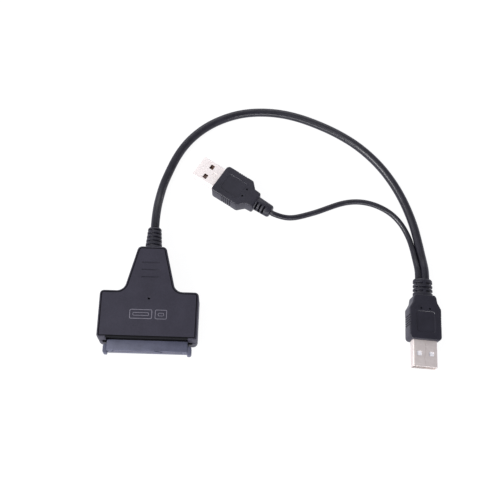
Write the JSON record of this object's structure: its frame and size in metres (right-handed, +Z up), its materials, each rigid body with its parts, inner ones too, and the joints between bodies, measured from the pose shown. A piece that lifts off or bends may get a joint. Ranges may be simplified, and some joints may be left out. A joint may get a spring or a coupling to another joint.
{
  "type": "usb to sata adapter",
  "caption": "Adapter lead: a T-shaped head with a drive data and power receptacle, on a short cable to a USB-A plug, and a thinner cable from that plug to a second USB-A plug for extra power.",
  "frame": {"origin": "middle of the underside of the head, taken with its drive receptacle and its strain relief; the cables and the USB plugs are left out of it", "axes": "+Y from the drive receptacle towards the cable, +Z up through the marked top of the head, +X to the right with the receptacle facing the viewer"},
  "size_m": [0.1628, 0.1367, 0.0124],
  "materials": {
    "housing_abs": "spark-eroded matte texture, as moulded",
    "moulded_pvc": "fine matte, as moulded",
    "cable_jacket": "satin, as extruded",
    "connector_plastic": "satin glass-filled plastic, as moulded",
    "plated_shell": "bright nickel plate",
    "gold_contact": "thin gold plate",
    "white_insulator": "satin, as moulded",
    "black_insulator": "satin, as moulded",
    "milky_inner_mould": "as moulded, hidden",
    "board_laminate": "solder mask",
    "chip_epoxy": "matte",
    "tinned_can": "satin",
    "light_body": "clear resin over a pale base",
    "wire_red": "as extruded",
    "wire_white": "as extruded",
    "wire_green": "as extruded",
    "wire_black": "as extruded"
  },
  "bodies": {
    "root": {"activity_light": "light_body", "bridge_board": "board_laminate", "bridge_chip": "chip_epoxy", "capacitor": "tinned_can", "crystal": "tinned_can", "data_plug_contact_1": "gold_contact", "data_plug_contact_2": "gold_contact", "data_plug_contact_3": "gold_contact", "data_plug_contact_4": "gold_contact", "data_plug_inner_mould": "milky_inner_mould", "data_plug_insulator": "white_insulator", "data_plug_moulding": "moulded_pvc", "data_plug_shell": "plated_shell", "head_base_cover": "housing_abs", "head_strain_relief": "moulded_pvc", "head_top_cover": "housing_abs", "head_wire_black": "wire_black", "head_wire_green": "wire_green", "head_wire_red": "wire_red", "head_wire_white": "wire_white", "main_cable": "cable_jacket", "power_cable": "cable_jacket", "power_plug_contact_1": "gold_contact", "power_plug_contact_2": "gold_contact", "power_plug_contact_3": "gold_contact", "power_plug_contact_4": "gold_contact", "power_plug_inner_mould": "milky_inner_mould", "power_plug_insulator": "black_insulator", "power_plug_moulding": "moulded_pvc", "power_plug_shell": "plated_shell", "sata_power_contact_01": "gold_contact", "sata_power_contact_02": "gold_contact", "sata_power_contact_03": "gold_contact", "sata_power_contact_04": "gold_contact", "sata_power_contact_05": "gold_contact", "sata_power_contact_06": "gold_contact", "sata_power_contact_07": "gold_contact", "sata_power_contact_08": "gold_contact", "sata_power_contact_09": "gold_contact", "sata_power_contact_10": "gold_contact", "sata_power_contact_11": "gold_contact", "sata_power_contact_12": "gold_contact", "sata_power_contact_13": "gold_contact", "sata_power_contact_14": "gold_contact", "sata_power_contact_15": "gold_contact", "sata_receptacle": "connector_plastic", "sata_signal_contact_01": "gold_contact", "sata_signal_contact_02": "gold_contact", "sata_signal_contact_03": "gold_contact", "sata_signal_contact_04": "gold_contact", "sata_signal_contact_05": "gold_contact", "sata_signal_contact_06": "gold_contact", "sata_signal_contact_07": "gold_contact", "voltage_regulator": "chip_epoxy"}
  },
  "joints": []
}
